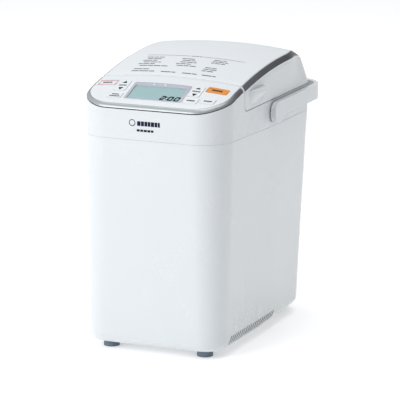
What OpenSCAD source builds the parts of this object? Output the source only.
// Bread machine for one small loaf: a tall, narrow white case with a sloping
// control panel in front, a domed lid hinged at the rear, and a folding
// carry handle that lies round the back of the case.
// Millimetres. +X is the machine's right side, -Y is its front, +Z is up.
// The origin is under the middle of the overall footprint, on the floor.

/* [Case] */
// Width of the case
case_w = 188.8; // [176:0.4:228]
// Depth of the case
case_d = 306; // [296:1:368]
// Height of the seam between the case and the lid
seam_z = 293; // [286:1:352]
// Height of the case bottom above the floor
case_z = 9; // [7:1:12]
// Height of the joint line between the lower case and the upper frame
joint_z = 264; // [258:1:266]
// Amount that each side draws in from the joint line down to the base
case_draft = 4.2; // [2:0.2:6]
// Extra amount that the sides draw in at the rear of the base
rear_draw = 3.6; // [0:0.4:6]
// Corner radius at the front, in plan
front_r = 40; // [34:1:44]
// Corner radius at the rear, in plan
rear_r = 36; // [30:1:38]
// Corner radius of the lid at the rear, in plan
lid_rear_r = 46; // [42:1:50]
// Rounding of the bottom edge
base_round = 11; // [8:1:12]
// Wall of the case and of the upper frame
wall = 2.6; // [2.2:0.1:3.2]

/* [Top] */
// Height of the highest point of the lid above the seam
dome_rise = 53; // [50:1:64]
// Distance of the highest point behind the middle of the case
dome_y = 71; // [60:1:80]
// Radius of the dome in side view
dome_r = 710; // [640:10:860]
// Radius of the turn from the dome down to the rear face
rear_turn = 42; // [36:1:46]
// Slope of the control panel
panel_tilt = 21.3; // [18:0.1:23]
// Distance of the lid's front edge from the front of the case
panel_d = 74; // [70:1:80]
// Height of the trim band round the control panel
panel_trim_h = 6; // [4.5:0.5:7]
// Height of the trim band round the lid
lid_trim_h = 8.5; // [6:0.5:10]
// Width of the trim bands in plan
trim_w = 4.2; // [3:0.2:5]
// Thickness of the lid cover and of the control panel
cover_t = 2.6; // [2:0.1:3]
// Gap between the lid and the case
lid_gap = 0.8; // [0.7:0.1:1]

/* [Oven] */
// Width of the oven inside
oven_w = 136; // [120:1:146]
// Depth of the oven inside, front to back
oven_d = 158; // [150:1:164]
// Height of the oven floor
oven_z = 92; // [88:1:100]
// Sheet thickness of the oven
oven_t = 1.2; // [0.8:0.1:1.5]
// Distance of the oven's middle behind the middle of the case
oven_y = 34; // [28:1:38]
// Gap between the bread pan and each wall of the oven
pan_gap = 12; // [11:0.5:16]
// Height of the bread pan
pan_h = 146; // [120:1:152]
// Wall of the bread pan
pan_t = 1.6; // [1.2:0.1:2]

/* [Drive] */
// Radius of the drive shaft
shaft_r = 5; // [4:0.25:6]
// Running clearance of shafts in their bores
run = 0.06; // [0.03:0.01:0.09]
// Teeth of the large pulley
big_teeth = 84; // [72:4:88]
// Teeth of the motor pulley
small_teeth = 14; // [12:1:16]
// Tooth pitch of the drive belt
belt_pitch = 3.2; // [3:0.1:3.4]
// Width of the drive belt
belt_w = 9; // [7:1:11]
// Distance from the motor shaft to the drive shaft
belt_span = 110; // [108:1:116]

/* [Handle] */
// Distance from the case side to the handle arm
arm_gap = 1.5; // [1:0.1:2]
// Thickness of each handle arm
arm_t = 6.6; // [5.6:0.2:8]
// Height of the handle arm
arm_h = 18.5; // [15:0.5:19]
// Radius of the round end of each arm
arm_end_r = 13.3; // [11:0.1:13.4]
// Thickness of the grip behind the case
grip_t = 13; // [12:0.5:15]
// Gap between the grip and the rear of the case
grip_gap = 7; // [6.5:0.5:9]
// Distance of the handle pivot behind the middle of the case
pivot_back = 11; // [8:0.5:12]
// Radius of the handle pivot
pivot_r = 5; // [4:0.5:6]

/* [Keys] */
// Gap round a key in its opening
key_gap = 0.4; // [0.3:0.05:0.5]
// Height of a key above the panel
key_proud = 0.5; // [0.3:0.1:0.8]
// Travel of a key
key_travel = 0.6; // [0.4:0.1:0.8]
// Width of the display frame
display_w = 75; // [68:1:76]
// Depth of the display frame along the slope
display_d = 39; // [35:1:40]

/* [Feet] */
// Radius of a foot
foot_r = 9.8; // [8:0.2:11]
// Distance of the feet from the middle line
foot_x = 62; // [56:1:66]
// Distance of the front and rear feet from the middle of the case
foot_y = 124; // [116:1:128]

/* [Hidden] */
$fn = 64;
HULL_FN = 40;
slab = 0.02;                 // thickness of the slices that a hull joins
far = 400;                   // reach of a cutter past everything

half_w = case_w / 2;
half_d = case_d / 2;
arm_out = half_w + arm_gap + arm_t;         // outer face of a handle arm
rear_out = half_d + grip_gap + grip_t;      // rear face of the grip
body_y = (half_d - rear_out) / 2;           // centres the whole outline on Y
top_z = seam_z + dome_rise;
lid_front = -half_d + panel_d;
frame_top = seam_z;
deck_t = 3;
deck_z = seam_z - 3.5;                      // upper face of the deck
lid_z = seam_z + lid_gap;                   // underside of the lid's rim
turn_y = half_d - rear_turn;                // start of the rear turn
turn_z = dome_z(turn_y) - rear_turn;
bend_y = -half_d + 50;                      // the panel's slope meets the dome
bend_z = dome_z(bend_y);
profile_n = 26;

// Heights of the top surface along the middle, from the front to the rear
function dome_z(y) = top_z - pow(y - dome_y, 2) / (2 * dome_r);
function slope_z(y) = bend_z + (y - bend_y) * tan(panel_tilt);
function turned_z(y) = turn_z + sqrt(max(0, pow(rear_turn, 2) - pow(y - turn_y, 2)));
function skin_z(y) = y > turn_y ? turned_z(y) : min(dome_z(y), slope_z(y));
function mix(a, b, t) = a + (b - a) * t;

// Side outline under the top surface, lowered by drop, from y0 to y1
function outline(y0, y1, drop, low) = concat(
    [[y0, low]],
    [for (i = [0:profile_n]) let (y = mix(y0, y1, i / profile_n)) [y, skin_z(y) - drop]],
    [[y1, low]]);

// Everything is placed from the middle of the case
module at_case() {
    translate([0, body_y, 0]) children();
}

module both_sides() {
    children();
    mirror([1, 0, 0]) children();
}

// Plan of the case, drawn in by inset all round
module plan(inset = 0, fr = front_r, rr = rear_r, w = case_w, d = case_d) {
    rf = fr - inset;
    rb = rr - inset;
    hw = w / 2 - inset;
    hd = d / 2 - inset;
    for (s = [-1, 1]) {
        translate([s * (hw - rf), -hd + rf]) circle(rf);
        translate([s * (hw - rb), hd - rb]) circle(rb);
    }
    translate([-hw + rf, -hd]) square([2 * (hw - rf), rf + 1]);
    translate([-hw + rb, hd - rb - 1]) square([2 * (hw - rb), rb + 1]);
    translate([-hw, -hd + rf]) square([2 * hw, 2 * hd - rf - rb]);
}

// Upright ring or block of the case plan
module plan_block(inset, z0, z1) {
    translate([0, 0, z0]) linear_extrude(z1 - z0) plan(inset);
}

// The same for the lid, whose rear corners turn in more to clear the handle
module lid_block(inset, z0, z1) {
    translate([0, 0, z0]) linear_extrude(z1 - z0) plan(inset, rr = lid_rear_r);
}

// Prism across the machine with a side outline
module side_prism(points, w = 2 * far) {
    rotate([90, 0, 90]) linear_extrude(w, center = true) polygon(points);
}

// Everything under the top surface lowered by drop, between y0 and y1
module under_skin(drop, y0 = -half_d - 1, y1 = half_d, low = joint_z - 1) {
    side_prism(outline(y0, y1, drop, low));
}

// One thin slice of the lower case at height z
module case_slice(z, inset) {
    k = (joint_z - z) / (joint_z - case_z);
    in = inset + case_draft * k;
    rr = rear_r + 14 * k - inset;
    fr = front_r - 10 * k - inset;
    hw = half_w - in;
    hd = half_d - in;
    translate([0, 0, z]) linear_extrude(slab) {
        for (s = [-1, 1]) {
            translate([s * (hw - fr), -hd + fr]) circle(fr, $fn = HULL_FN);
            translate([s * (hw - rear_draw * k - rr), hd - rr]) circle(rr, $fn = HULL_FN);
        }
    }
}

// Drafted body of the lower case, drawn in by inset, with its rounded base
module case_body(inset, low, high) {
    hull() {
        for (a = [0:15:75]) {
            z = case_z + base_round * (1 - cos(a));
            if (z >= low) case_slice(z, inset + base_round * (1 - sin(a)) * 0.72);
        }
        case_slice(max(low, case_z + base_round), inset);
        case_slice(high - slab, inset);
    }
}

module rounded(w, d, r) {
    for (sx = [-1, 1], sy = [-1, 1])
        translate([sx * (w / 2 - r), sy * (d / 2 - r)]) circle(r);
    square([w - 2 * r, d], center = true);
    square([w, d - 2 * r], center = true);
}

module rounded_block(w, d, h, r) {
    linear_extrude(h) rounded(w, d, r);
}

module tube(ro, ri, h) {
    difference() {
        cylinder(r = ro, h = h);
        translate([0, 0, -1]) cylinder(r = ri, h = h + 2);
    }
}

// ---------------------------------------------------------------- case

vent_n = 20;
vent_pitch = 7;
vent_w = 1.8;
vent_lean = 45;
vent_low = case_z + 5;
vent_high = case_z + 14.5;
vent_start = -half_d + 35;
gland_y = half_d;
gland_z = 34;
gland_x = -46;
gland_r = 8;
pivot_y = pivot_back;
arm_top = seam_z - 2.5;
pivot_z = arm_top - arm_end_r;

// Slanted air slots low on both sides
module vent_slots() {
    run_h = vent_high - vent_low;
    lean = run_h * tan(vent_lean);
    for (i = [0:vent_n - 1])
        translate([0, vent_start + i * vent_pitch, 0])
            side_prism([[0, vent_low], [vent_w, vent_low],
                [lean + vent_w, vent_high], [lean, vent_high]]);
}

module outer_case() color("white") at_case() {
    difference() {
        case_body(0, case_z, joint_z);
        case_body(wall, case_z - 1, joint_z + 1);
        difference() {
            vent_slots();
            cube([2 * (half_w - 24), far, far], center = true);
        }
        translate([gland_x, gland_y - 20, gland_z]) rotate([-90, 0, 0]) cylinder(r = gland_r, h = 40);
    }
}

tray_z = case_z + 2;
tray_t = 3.5;
tray_top = case_z + 16;
tray_gap = 0.3;
rear_foot_x = foot_x - 8;
rear_foot_y = foot_y - 12;
post_x = 58;
post_y = [-96, 92];
screw_r = 1.5;
screw_head_r = 3;
screw_fit = 0.05;
foot_places = [[-foot_x, -foot_y], [foot_x, -foot_y],
    [-rear_foot_x, rear_foot_y], [rear_foot_x, rear_foot_y]];
post_places = [for (x = [-post_x, post_x], y = post_y) [x, y]];

module base_tray() color("gainsboro") at_case() {
    difference() {
        case_body(wall + tray_gap, case_z, tray_top);
        translate([0, 0, tray_z - far]) cube([2 * far, 2 * far, 2 * far], center = true);
        case_body(wall + tray_gap + 2.2, tray_z + tray_t - 0.5, tray_top + 1);
        for (p = foot_places) translate([p[0], p[1], 0]) cylinder(r = screw_r + screw_fit, h = tray_top);
        for (i = [-5:5]) translate([i * 9, 40, tray_z + 2]) cube([4, 60, 20], center = true);
    }
}

module rubber_feet() color("slategray") at_case() {
    for (p = foot_places) translate([p[0], p[1], 0]) difference() {
        union() {
            cylinder(r1 = foot_r - 0.9, r2 = foot_r, h = 1.2);
            translate([0, 0, 1.2]) cylinder(r = foot_r, h = tray_z - 1.2);
        }
        translate([0, 0, -1]) cylinder(r = screw_head_r + 0.3, h = 5);
        cylinder(r = screw_r + screw_fit, h = tray_z + 1);
    }
}

// Pan-head screw standing on its head's seat at the origin, thread upwards
module screw(length) {
    cylinder(r = screw_r, h = length);
    translate([0, 0, -2]) cylinder(r = screw_head_r, h = 2);
}

module foot_screws() color("silver") at_case() {
    for (p = foot_places) translate([p[0], p[1], 4]) screw(tray_z + 2);
}

// ---------------------------------------------------------------- upper frame

divider_y = lid_front - 1.2;                // rear face of the panel compartment
hinge_y = half_d - 2;
hinge_z = seam_z + 6;
knuckle_r = 4.5;
pin_r = 2;
knuckle_in = 45.5;
knuckle_out = 59.5;
pin_half = 61;
pan_w = oven_w - 2 * pan_gap;
pan_d = oven_d - 2 * pan_gap;
opening_w = oven_w + 2 * oven_t;
opening_d = oven_d + 2 * oven_t;
oven_r = 22;
rim_t = 1.2;
rim_w = 10;
nut_t = 4;
nut_r = 7.5;
rim_screw_x = oven_w / 2 - 14;
rim_screw_y = opening_d / 2 + rim_w - screw_head_r - 0.8;

module at_hinge(x0, x1) {
    translate([x0, hinge_y, hinge_z]) rotate([0, 90, 0]) linear_extrude(x1 - x0) children();
}

module rim_screw_places() {
    for (sx = [-1, 1], sy = [-1, 1])
        translate([sx * rim_screw_x, oven_y + sy * rim_screw_y, 0]) children();
}

module upper_frame() color("white") at_case() {
    difference() {
        union() {
            difference() {
                union() {
                    intersection() {
                        plan_block(0, joint_z, frame_top);
                        under_skin(panel_trim_h);
                    }
                    intersection() {
                        plan_block(0, frame_top - 1, top_z);
                        under_skin(panel_trim_h, -half_d - 1, divider_y);
                    }
                }
                plan_block(wall, joint_z - 1, top_z + 1);
            }
            // Ledge and skirt that seat in the lower case
            difference() {
                plan_block(wall - 0.3, joint_z, joint_z + 3);
                plan_block(wall + 2.2, joint_z - 1, joint_z + 4);
            }
            difference() {
                plan_block(wall + 0.5, joint_z - 6, joint_z + 1);
                plan_block(wall + 2.2, joint_z - 7, joint_z + 2);
            }
            // Deck round the oven
            difference() {
                intersection() {
                    plan_block(wall - 0.3, deck_z - deck_t, deck_z);
                    translate([-far, divider_y - wall, 0]) cube([2 * far, far, far]);
                }
                translate([0, oven_y, deck_z - deck_t - 1])
                    rounded_block(opening_w + 0.6, opening_d + 0.6, deck_t + 2, oven_r + oven_t + 0.3);
            }
            // Wall between the panel compartment and the lid
            intersection() {
                plan_block(wall - 0.3, deck_z - deck_t, top_z);
                under_skin(panel_trim_h, divider_y - wall, divider_y);
            }
            both_sides() {
                // Hinge knuckle on its neck
                at_hinge(knuckle_in, knuckle_out) circle(knuckle_r);
                translate([knuckle_in, hinge_y - 4, deck_z - deck_t])
                    cube([knuckle_out - knuckle_in, 5.8, hinge_z - deck_z + deck_t]);
                // Boss of the handle pivot
                translate([half_w - wall - pivot_boss_t, pivot_y, pivot_z]) rotate([0, 90, 0])
                    cylinder(r = nut_r + 1, h = pivot_boss_t + 1);
            }
        }
        at_hinge(-far, far) circle(pin_r + 0.02);
        translate([-far, pivot_y, pivot_z]) rotate([0, 90, 0])
            cylinder(r = pivot_r + 0.02, h = 2 * far);
        rim_screw_places() translate([0, 0, deck_z - 10]) cylinder(r = screw_r + screw_fit, h = 20);
        // Fine groove along the joint line
        difference() {
            plan_block(-5, joint_z - 0.5, joint_z + 0.6);
            plan_block(0.6, joint_z - 1, joint_z + 1);
        }
    }
}

module case_screws() color("silver") at_case() {
    rim_screw_places() translate([0, 0, deck_z + rim_t]) mirror([0, 0, 1]) screw(8);
}

module handle_pivots() color("silver") at_case() {
    inside = wall + pivot_boss_t + nut_t + 1;
    both_sides() translate([half_w - inside, pivot_y, pivot_z]) rotate([0, 90, 0])
        cylinder(r = pivot_r, h = inside + arm_gap + journal);
}

module pivot_nuts() color("silver") at_case() {
    inside = wall + pivot_boss_t + nut_t;
    both_sides() translate([half_w - inside, pivot_y, pivot_z]) rotate([0, 90, 0]) difference() {
        cylinder(r = nut_r, h = nut_t, $fn = 6);
        translate([0, 0, -1]) cylinder(r = pivot_r + 0.02, h = nut_t + 2);
    }
}

module hinge_pin() color("silver") at_case() {
    at_hinge(-pin_half, pin_half) circle(pin_r);
}

// ---------------------------------------------------------------- carry handle

grip_r = 42;                                // outer corner radius in plan
grip_in_r = 23;                             // inner corner radius in plan
bore_depth = 4.6;
journal = 4.4;                              // reach of the pivot into the arm
pivot_boss_t = 3;

module handle_plan(x, y, r) {
    translate([-x, -half_d]) square([2 * x, half_d + y - r]);
    translate([-x + r, y - r - 1]) square([2 * (x - r), r + 1]);
    for (s = [-1, 1]) translate([s * (x - r), y - r]) circle(r);
}

module carry_handle() color("white") at_case() {
    arm_in = half_w + arm_gap;
    difference() {
        union() {
            difference() {
                translate([0, 0, arm_top - arm_h]) linear_extrude(arm_h) difference() {
                    handle_plan(arm_out, rear_out, grip_r);
                    handle_plan(arm_in, rear_out - grip_t, grip_in_r);
                }
                translate([-far, pivot_y - far, 0]) cube([2 * far, far, far]);
            }
            both_sides() translate([arm_in, pivot_y, pivot_z]) rotate([0, 90, 0])
                cylinder(r = arm_end_r - 0.3, h = arm_t);
        }
        both_sides() translate([arm_in - 1, pivot_y, pivot_z]) rotate([0, 90, 0])
            cylinder(r = pivot_r + run, h = bore_depth + 1);
    }
}

// ---------------------------------------------------------------- control panel

board_depth = 16;                           // board face below the panel face
board_t = 1.6;
switch_h = 4;
flange = 1.2;                               // key flange beyond the key
display_x = -1;
display_y = -half_d + 32.5;
window_w = display_w - 7;
window_d = display_d - 8;
window_shift = -2.4;
tact_gap = 0.1;

// Keys: centre on the panel, then width and depth along the slope
function from_front(d) = d - half_d;
cancel_place = [-74, from_front(49), 24, 13.5];
crust_place = [-51.5, from_front(19.5), 18, 12.5];
start_place = [69.5, from_front(49.5), 27, 13.5];
timer_place = [47, from_front(20.5), 18, 12.5];
cycle_place = [68, from_front(23), 18, 12.5];
course_place = [-51.5, from_front(42.5), 15, 25];
time_place = [45.5, from_front(41), 15, 25];
board_posts = [[-76, from_front(29)], [81, from_front(35)],
    [-50, from_front(60)], [50, from_front(60)]];
board_middle = from_front(38);
board_front = 26;                           // reach of the board down the slope
board_rear = 23;                            // and up the slope
switch_w = 6;
rocker_reach = 8;                           // from a rocker's middle to its switches
flange_t = 1.5;
post_r = 3;
board_left = -80;
board_right = 85;
push_keys = [cancel_place, crust_place, start_place, timer_place, cycle_place];
rocker_keys = [course_place, time_place];

// Frame on the sloping panel face: local Z is its outward normal
module on_panel(p) {
    translate([p[0], p[1], slope_z(p[1])]) rotate([panel_tilt, 0, 0]) children();
}

module control_panel() color("white") at_case() {
    difference() {
        union() {
            intersection() {
                plan_block(trim_w, joint_z, top_z);
                difference() {
                    under_skin(0, -half_d, divider_y);
                    under_skin(cover_t, -half_d - 2, divider_y + 2);
                }
            }
            // Skirt inside the trim
            intersection() {
                difference() {
                    plan_block(trim_w, joint_z, top_z);
                    plan_block(trim_w + 2, joint_z - 1, top_z + 1);
                }
                difference() {
                    under_skin(cover_t - 0.5, -half_d, divider_y - wall - 1);
                    under_skin(panel_trim_h + 5, -half_d - 2, divider_y);
                }
            }
            // Rear lip that meets the divider
            intersection() {
                plan_block(trim_w, joint_z, top_z);
                difference() {
                    under_skin(cover_t - 0.5, divider_y - wall, divider_y);
                    under_skin(panel_trim_h, divider_y - wall - 2, divider_y + 2);
                }
            }
            // Posts that carry the board
            intersection() {
                under_skin(cover_t - 0.5, -half_d, divider_y);
                for (p = board_posts)
                    on_panel(p) translate([0, 0, -board_depth]) cylinder(r = post_r, h = board_depth);
            }
        }
        for (p = concat(push_keys, rocker_keys))
            on_panel(p) translate([0, 0, -board_depth / 2])
                rounded_block(p[2] + 2 * key_gap, p[3] + 2 * key_gap, board_depth, 2 + key_gap);
        on_panel([display_x, display_y]) translate([0, 0, -board_depth / 2])
            rounded_block(display_w + 0.2, display_d + 0.2, board_depth, 3.1);
    }
}

module panel_trim() color("silver") at_case() {
    difference() {
        intersection() {
            plan_block(0, joint_z, top_z);
            under_skin(0.9, -half_d - 1, divider_y);
        }
        plan_block(trim_w, joint_z - 1, top_z + 1);
        under_skin(panel_trim_h, -half_d - 3, divider_y + 3, low = 0);
    }
}

// Cap of a key, with the flange that holds it under the panel
module key_top(p, top_d) {
    corner = 2;
    translate([0, 0, -top_d - flange_t])
        rounded_block(p[2], p[3], top_d + flange_t + key_proud, corner);
    translate([0, 0, -top_d - flange_t])
        rounded_block(p[2] + 2 * flange, p[3] + 2 * flange, flange_t, corner + flange);
}

module push_key(p) {
    top_d = cover_t + 1.2;
    on_panel(p) {
        key_top(p, top_d);
        tip = -board_depth + switch_h + key_travel + tact_gap;
        translate([0, 0, tip]) cylinder(r = 2, h = -top_d - 1 - tip);
    }
}

module rocker_key(p) {
    top_d = cover_t + 1.9;
    on_panel(p) {
        key_top(p, top_d);
        tip = -board_depth + switch_h + key_travel + tact_gap;
        for (s = [-1, 1]) translate([0, s * rocker_reach, tip])
            cylinder(r = 1.6, h = -top_d - 1 - tip);
    }
}

module cancel_key() color("white") at_case() {
    push_key(cancel_place);
}

module crust_key() color("white") at_case() {
    push_key(crust_place);
}

module start_key() color("orange") at_case() {
    push_key(start_place);
}

module timer_key() color("white") at_case() {
    push_key(timer_place);
}

module cycle_key() color("white") at_case() {
    push_key(cycle_place);
}

module course_rocker() color("white") at_case() {
    rocker_key(course_place);
}

module time_rocker() color("white") at_case() {
    rocker_key(time_place);
}

module display_bezel() color("darkgray") at_case() {
    on_panel([display_x, display_y]) difference() {
        translate([0, 0, -cover_t - 1.4]) rounded_block(display_w, display_d, cover_t + 1.8, 3);
        translate([0, window_shift, -cover_t - 2]) rounded_block(window_w - 2, window_d - 2, 9, 1);
        translate([0, window_shift, -1.8]) rounded_block(window_w, window_d, 9, 1);
    }
}

module display_window() color("lightcyan", 0.5) at_case() {
    on_panel([display_x, display_y]) translate([0, window_shift, -1.8])
        rounded_block(window_w - 0.1, window_d - 0.1, 1.4, 0.95);
}

module display_module() color("cadetblue") at_case() {
    on_panel([display_x, display_y]) translate([-display_w / 2 + 1, -display_d / 2 + 1, -board_depth])
        cube([display_w - 2, display_d - 2, board_depth - cover_t - 1.4]);
}

// Small push switch let into the board
module touch_switch() {
    sunk = 0.5;
    translate([-switch_w / 2, -switch_w / 2, -board_depth - sunk])
        cube([switch_w, switch_w, switch_h + sunk]);
}

module control_board() color("darkgreen") at_case() {
    on_panel([0, board_middle]) translate([board_left, -board_front, -board_depth - board_t])
        cube([board_right - board_left, board_front + board_rear, board_t]);
    for (p = push_keys) on_panel(p) touch_switch();
    for (p = rocker_keys, s = [-1, 1])
        on_panel(p) translate([0, s * rocker_reach, 0]) touch_switch();
}

// ---------------------------------------------------------------- lid

trim_end = half_d - 9;                      // where the lid trim runs out at the rear
liner_z = lid_z + 2;
liner_t = 1.5;
tab_y = -42;
tab_len = 44;
tab_out = 10.5;
tab_top = seam_z + 23;
tab_low = seam_z + 7;
tab_r = (pow(tab_len / 2, 2) + pow(tab_out, 2)) / (2 * tab_out);
lid_post_x = 78;
lid_post_y = [-60, 96];
gasket_w = 3;
gasket_gap = 0.5;                           // from the oven's inner edge to the gasket

// Space that the lid's rear wall leaves for the fixed knuckles
module knuckle_slots() {
    both_sides() translate([knuckle_in - 0.7, hinge_y - 9, lid_z - 5])
        cube([knuckle_out - knuckle_in + 1.4, 20, hinge_z - lid_z + 12]);
}

module lid_frame() color("white") at_case() {
    difference() {
        union() {
            difference() {
                intersection() {
                    lid_block(0, lid_z, top_z);
                    union() {
                        under_skin(lid_trim_h, lid_front, trim_end);
                        under_skin(0, trim_end - 0.5, half_d + 1);
                    }
                }
                intersection() {
                    lid_block(wall, lid_z - 1, top_z + 1);
                    translate([-far, lid_front + wall, 0])
                        cube([2 * far, trim_end - wall - lid_front - wall, far]);
                }
                intersection() {
                    lid_block(trim_w, lid_z - 1, top_z + 1);
                    translate([-far, lid_front + wall, 0]) cube([2 * far, far, far]);
                }
                difference() {
                    lid_block(trim_w, lid_z, top_z + 2);
                    under_skin(cover_t, lid_front - 3, half_d + 3);
                }
                intersection() {
                    difference() {
                        lid_block(-3, lid_z, top_z + 2);
                        under_skin(lid_trim_h, lid_front - 3, half_d + 3);
                    }
                    translate([-far, -far, 0]) cube([2 * far, far + trim_end, far]);
                }
            }
            intersection() {
                lid_block(trim_w, lid_z, top_z);
                under_skin(cover_t, lid_front, lid_front + wall);
            }
            difference() {
                at_hinge(-knuckle_in + 1, knuckle_in - 1) circle(knuckle_r);
                plan_block(-20, lid_z - 30, lid_z);
            }
        }
        at_hinge(-far, far) circle(pin_r + run);
        knuckle_slots();
    }
}

module lid_trim() color("dimgray") at_case() {
    difference() {
        intersection() {
            lid_block(0, lid_z, top_z);
            under_skin(0.9, lid_front, trim_end);
        }
        lid_block(trim_w, lid_z - 1, top_z + 1);
        under_skin(lid_trim_h, lid_front - 3, half_d + 3, low = 0);
    }
}

module lid_posts() {
    for (sx = [-1, 1], y = lid_post_y)
        translate([sx * lid_post_x, y, liner_z + liner_t]) children();
}

module lid_cover() color("white") at_case() {
    intersection() {
        lid_block(trim_w, lid_z, top_z + 1);
        difference() {
            under_skin(0, lid_front, half_d);
            under_skin(cover_t, lid_front - 3, half_d + 3);
        }
    }
    difference() {
        intersection() {
            under_skin(cover_t - 0.5, lid_front, half_d);
            lid_posts() cylinder(r = 4, h = far);
        }
        lid_posts() translate([0, 0, -1]) cylinder(r = screw_r + screw_fit, h = 13);
    }
}

module lid_liner() color("silver") at_case() {
    difference() {
        intersection() {
            lid_block(wall + 0.3, liner_z, liner_z + liner_t);
            translate([-far, lid_front + wall + 0.3, 0]) cube([2 * far, hinge_y - 13 - lid_front, far]);
        }
        lid_posts() translate([0, 0, -10]) cylinder(r = screw_r + screw_fit, h = 20);
    }
}

module lid_screws() color("silver") at_case() {
    lid_posts() translate([0, 0, -liner_t]) screw(9);
}

module lid_gasket() color("dimgray") at_case() {
    low = deck_z + rim_t + 0.4;
    translate([0, oven_y, low]) difference() {
        rounded_block(oven_w + 2 * gasket_gap + 2 * gasket_w, oven_d + 2 * gasket_gap + 2 * gasket_w,
            liner_z - low, oven_r + gasket_gap + gasket_w);
        translate([0, 0, -1])
            rounded_block(oven_w + 2 * gasket_gap, oven_d + 2 * gasket_gap, 20, oven_r + gasket_gap);
    }
}

module lift_tab() {
    intersection() {
        translate([half_w + tab_out - tab_r, tab_y, tab_low]) cylinder(r = tab_r, h = tab_top - tab_low);
        translate([0, tab_y + tab_len, 0]) rotate([90, 0, 0]) linear_extrude(2 * tab_len)
            polygon([[half_w, tab_low], [half_w + tab_out + 1, tab_top - 4],
                [half_w + tab_out + 1, tab_top], [half_w, tab_top]]);
    }
}

module lift_tab_right() color("white") at_case() {
    lift_tab();
}

module lift_tab_left() color("white") at_case() {
    mirror([1, 0, 0]) lift_tab();
}

// ---------------------------------------------------------------- oven

heater_z = oven_z + 24;
heater_s = 5;
heater_in = 3;
terminal_x = 22;
terminal_r = 2.5;
sensor_z = oven_z + 70;
sensor_r = 3;
socket_r = 33;
socket_t = 3;
socket_h = 10;
floor_hole = 18;
pan_z = oven_z + 13;
pan_r = 24;
pan_rest = 0.3;                             // gap under the pan's foot ring

module at_oven(z) {
    translate([0, oven_y, z]) children();
}

module oven_liner() color("silver") at_case() {
    difference() {
        at_oven(oven_z - oven_t)
            rounded_block(opening_w, opening_d, deck_z - oven_z + oven_t, oven_r + oven_t);
        at_oven(oven_z) rounded_block(oven_w, oven_d, far, oven_r);
        at_oven(oven_z - 10) cylinder(r = floor_hole, h = 20);
        at_oven(sensor_z) rotate([-90, 0, 0]) cylinder(r = sensor_r + 0.2, h = oven_d);
        for (s = [-1, 1]) at_oven(heater_z + heater_s / 2) translate([s * terminal_x, 0, 0])
            rotate([90, 0, 0]) cylinder(r = terminal_r + 1, h = oven_d);
    }
}

module oven_rim() color("silver") at_case() {
    at_oven(deck_z) difference() {
        rounded_block(opening_w + 2 * rim_w, opening_d + 2 * rim_w, rim_t, oven_r + rim_w);
        translate([0, 0, -1]) rounded_block(oven_w, oven_d, 5, oven_r);
        for (sx = [-1, 1], sy = [-1, 1]) translate([sx * rim_screw_x, sy * rim_screw_y, -1])
            cylinder(r = screw_r + screw_fit, h = 5);
    }
}

module heater_element() color("dimgray") at_case() {
    w = oven_w - 2 * heater_in;
    d = oven_d - 2 * heater_in;
    at_oven(heater_z) difference() {
        rounded_block(w, d, heater_s, oven_r - heater_in);
        translate([0, 0, -1])
            rounded_block(w - 2 * heater_s, d - 2 * heater_s, 9, oven_r - heater_in - heater_s);
    }
    for (s = [-1, 1]) at_oven(heater_z + heater_s / 2)
        translate([s * terminal_x, -d / 2 + heater_s / 2, 0]) rotate([90, 0, 0])
            cylinder(r = terminal_r, h = heater_s / 2 + heater_in + oven_t + 8);
}

module heater_clips() color("silver") at_case() {
    both_sides() for (y = [-45, 45])
        at_oven(heater_z - 4) translate([oven_w / 2 - heater_in, y - 5, 0])
            cube([heater_in, 10, heater_s + 8]);
}

module temperature_sensor() color("silver") at_case() {
    at_oven(sensor_z) translate([0, oven_d / 2 - 7, 0]) rotate([-90, 0, 0]) {
        cylinder(r = sensor_r, h = 7 + oven_t + 12);
        translate([0, 0, 7 + oven_t]) cylinder(r = sensor_r + 4, h = 3);
    }
}

module pan_socket() color("silver") at_case() {
    at_oven(oven_z) tube(socket_r, socket_r - socket_t, socket_h);
}

module baking_pan() color("dimgray") at_case() {
    ring = socket_r - socket_t - 1;
    difference() {
        union() {
            at_oven(pan_z) rounded_block(pan_w, pan_d, pan_h, pan_r);
            at_oven(pan_z + pan_h - 2) rounded_block(pan_w + 5, pan_d + 5, 2, pan_r + 2.5);
            at_oven(oven_z + pan_rest) cylinder(r = ring, h = pan_z - oven_z);
            // Ears of the pan handle
            for (s = [-1, 1]) at_oven(pan_z + pan_h - 2) translate([-6, s * (pan_d / 2 - 1) - 1.5, 0])
                cube([12, 3, 11]);
        }
        at_oven(pan_z + pan_t) rounded_block(pan_w - 2 * pan_t, pan_d - 2 * pan_t, pan_h, pan_r - pan_t);
        at_oven(oven_z) cylinder(r = ring - 3, h = pan_z - oven_z - 2);
        at_oven(oven_z) cylinder(r = bush_r, h = 30);
        at_oven(pan_z + pan_h + 4) rotate([90, 0, 0])
            cylinder(r = bail_r + run, h = 2 * pan_d, center = true);
    }
}

bail_r = 1.8;
bail_bend = 3;
bush_r = 9;
kneader_r = 4;
wing_z = oven_z + 4;
bail_lean = pan_w / 2 - 2;                  // reach of the folded pan handle
blade_seat = pan_z + pan_t + 3.4;
blade_bore = 17;

module bail_bend() rotate_extrude(angle = 90) translate([bail_bend, 0]) circle(r = bail_r);

// A bent wire, drawn for its half at +y and mirrored
module bail_half() {
    y = pan_d / 2 + 3;
    translate([0, y - 6, 0]) rotate([-90, 0, 0]) cylinder(r = bail_r, h = 6 - bail_bend);
    translate([bail_bend, y - bail_bend, 0]) rotate([0, 0, 90]) bail_bend();
    translate([bail_bend, y, 0]) rotate([0, 90, 0])
        cylinder(r = bail_r, h = bail_lean - 2 * bail_bend);
    translate([bail_lean - bail_bend, y - bail_bend, 0]) bail_bend();
    translate([bail_lean, 0, 0]) rotate([-90, 0, 0]) cylinder(r = bail_r, h = y - bail_bend);
}

module pan_handle() color("silver") at_case() {
    at_oven(pan_z + pan_h + 4) {
        bail_half();
        mirror([0, 1, 0]) bail_half();
    }
}

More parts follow.
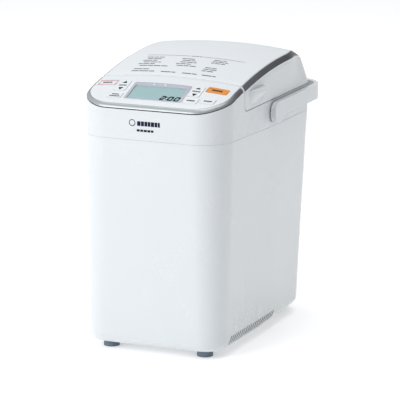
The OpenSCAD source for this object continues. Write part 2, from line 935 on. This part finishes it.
module pan_bushing() color("silver") at_case() {
    at_oven(pan_z - 2) difference() {
        union() {
            cylinder(r = bush_r, h = 2 + pan_t);
            translate([0, 0, 2 + pan_t]) cylinder(r = bush_r + 2, h = 3);
        }
        translate([0, 0, -1]) cylinder(r = kneader_r + run, h = 20);
    }
}

module kneader_shaft() color("silver") at_case() {
    at_oven(wing_z) {
        cylinder(r = kneader_r, h = blade_seat + blade_bore - 0.5 - wing_z);
        translate([-14, -3.5, 0]) cube([28, 7, 5]);
    }
}

module kneading_blade() color("dimgray") at_case() {
    at_oven(blade_seat) difference() {
        union() {
            cylinder(r = 8.5, h = 20);
            translate([0, 2, 0]) rotate([90, 0, 0]) linear_extrude(4)
                polygon([[0, 0], [38, 0], [40, 5], [34, 14], [22, 24], [8, 28], [0, 20]]);
        }
        translate([0, 0, -1]) cylinder(r = kneader_r + run, h = blade_bore + 1);
    }
}

// ---------------------------------------------------------------- drive

plate_z = 74;
plate_t = 3;
pulley_z = 48;
pulley_h = belt_w + 3;
big_r = big_teeth * belt_pitch / (2 * PI);
small_r = small_teeth * belt_pitch / (2 * PI);
belt_t = 1.6;
belt_gap = 0.2;
motor_y = oven_y - belt_span;
motor_r = 26;
motor_h = 58;
motor_shaft_r = 3;
bearing_r = 11;
plate_front = -132;
board_y = motor_y - motor_r - 17;
plate_rear = 112;
plate_w = 136;

module at_drive(z) {
    translate([0, oven_y, z]) children();
}

module at_motor(z) {
    translate([0, motor_y, z]) children();
}

module chassis_plate() color("lightsteelblue") at_case() {
    floor_z = case_z + base_round * 0.5;
    difference() {
        union() {
            translate([-plate_w / 2, plate_front, plate_z])
                cube([plate_w, plate_rear - plate_front, plate_t]);
            for (p = post_places) translate([p[0], p[1], floor_z])
                cylinder(r = 5, h = plate_z - floor_z + 1);
        }
        at_drive(plate_z - 1) cylinder(r = bearing_r, h = plate_t + 2);
        at_motor(plate_z - 1) cylinder(r = 9, h = plate_t + 2);
        for (s = [-1, 1]) at_motor(plate_z - 1) translate([s * 18, 0, 0])
            cylinder(r = screw_r + screw_fit, h = plate_t + 2);
    }
}

module chassis_screws() color("silver") at_case() {
    for (s = [-1, 1]) at_motor(plate_z) translate([s * 18, 0, 0]) screw(plate_t + 5);
}

module shaft_bearings() color("goldenrod") at_case() {
    at_drive(plate_z - 3) difference() {
        union() {
            cylinder(r = bearing_r, h = 3 + plate_t + 8);
            translate([0, 0, 3 + plate_t]) cylinder(r = bearing_r + 4, h = 3);
        }
        translate([0, 0, -1]) cylinder(r = shaft_r + run, h = 30);
    }
}

module drive_shaft() color("silver") at_case() {
    at_drive(pulley_z - 3) cylinder(r = shaft_r, h = oven_z + 3 - pulley_z + 3);
}

module drive_coupling() color("silver") at_case() {
    at_drive(oven_z - 4) difference() {
        union() {
            cylinder(r = 13, h = 7.4);
            for (a = [0, 180]) rotate([0, 0, a]) translate([5, 4, 5]) cube([6, 5, 7.4]);
        }
        translate([0, 0, -1]) cylinder(r = shaft_r, h = 8);
    }
}

module large_pulley() color("dimgray") at_case() {
    at_drive(pulley_z) difference() {
        union() {
            cylinder(r = big_r, h = pulley_h);
            cylinder(r = big_r + 2.5, h = 1.2);
        }
        translate([0, 0, -1]) cylinder(r = shaft_r, h = pulley_h + 2);
        for (i = [0:5]) rotate([0, 0, 60 * i]) translate([big_r * 0.56, 0, -1])
            cylinder(r = big_r * 0.2, h = pulley_h + 2);
    }
}

module motor_pulley() color("silver") at_case() {
    at_motor(pulley_z) difference() {
        union() {
            cylinder(r = small_r, h = pulley_h);
            cylinder(r = small_r + 2.5, h = 1.2);
        }
        translate([0, 0, -1]) cylinder(r = motor_shaft_r, h = pulley_h + 2);
    }
}

module belt_loop(grow) {
    hull() {
        translate([0, oven_y]) circle(big_r + grow);
        translate([0, motor_y]) circle(small_r + grow);
    }
}

module drive_belt() color("black") at_case() {
    translate([0, 0, pulley_z + 2]) linear_extrude(belt_w) difference() {
        belt_loop(belt_gap + belt_t);
        belt_loop(belt_gap);
    }
}

module motor_shaft() color("silver") at_case() {
    at_motor(pulley_z - 2) cylinder(r = motor_shaft_r, h = plate_z + plate_t + motor_h + 14 - pulley_z);
}

module drive_motor() color("slategray") at_case() {
    at_motor(plate_z + plate_t) difference() {
        cylinder(r = motor_r, h = motor_h);
        translate([0, 0, -1]) cylinder(r = motor_shaft_r + run, h = motor_h + 2);
        for (s = [-1, 1]) translate([s * 18, 0, -1]) cylinder(r = screw_r + screw_fit, h = 7);
    }
}

module motor_fan() color("ivory") at_case() {
    at_motor(plate_z + plate_t + motor_h + 2) difference() {
        union() {
            cylinder(r = 7, h = 8);
            cylinder(r = 22, h = 1.2);
            for (i = [0:8]) rotate([0, 0, 40 * i]) translate([6, -0.6, 0]) cube([15, 1.2, 8]);
        }
        translate([0, 0, -1]) cylinder(r = motor_shaft_r, h = 10);
    }
}

// Vertical board on the chassis plate, with its parts on the front
module power_board() color("peru") at_case() {
    translate([0, board_y, plate_z + plate_t]) {
        translate([-62, 0, 0]) cube([124, 1.6, 96]);
        translate([-50, -24, 20]) cube([30, 24.2, 26]);
        translate([-8, -16, 24]) cube([22, 16.2, 18]);
        translate([36, 0.5, 34]) rotate([90, 0, 0]) cylinder(r = 9, h = 22);
        translate([36, 0.5, 62]) rotate([90, 0, 0]) cylinder(r = 7, h = 18);
        translate([-50, -12, 62]) cube([52, 12.2, 14]);
    }
}

module cord_gland() color("dimgray") at_case() {
    rear = half_d - case_draft * (joint_z - gland_z) / (joint_z - case_z);
    translate([gland_x, 0, gland_z]) rotate([-90, 0, 0]) difference() {
        union() {
            translate([0, 0, rear - 12]) cylinder(r = gland_r - 0.1, h = 14);
            translate([0, 0, rear + 0.6]) cylinder(r = gland_r + 3, h = 2.4);
        }
        translate([0, 0, rear - 20]) cylinder(r = 3.6, h = 40);
    }
}

outer_case();
upper_frame();
base_tray();
rubber_feet();
foot_screws();
case_screws();
control_panel();
panel_trim();
display_bezel();
display_window();
display_module();
control_board();
cancel_key();
crust_key();
start_key();
timer_key();
cycle_key();
course_rocker();
time_rocker();
lid_cover();
lid_trim();
lid_frame();
lid_liner();
lid_gasket();
lid_screws();
lift_tab_left();
lift_tab_right();
hinge_pin();
carry_handle();
handle_pivots();
pivot_nuts();
oven_liner();
oven_rim();
heater_element();
heater_clips();
temperature_sensor();
pan_socket();
baking_pan();
pan_handle();
pan_bushing();
kneader_shaft();
kneading_blade();
drive_shaft();
shaft_bearings();
drive_coupling();
large_pulley();
drive_belt();
motor_pulley();
motor_fan();
drive_motor();
motor_shaft();
chassis_plate();
chassis_screws();
power_board();
cord_gland();
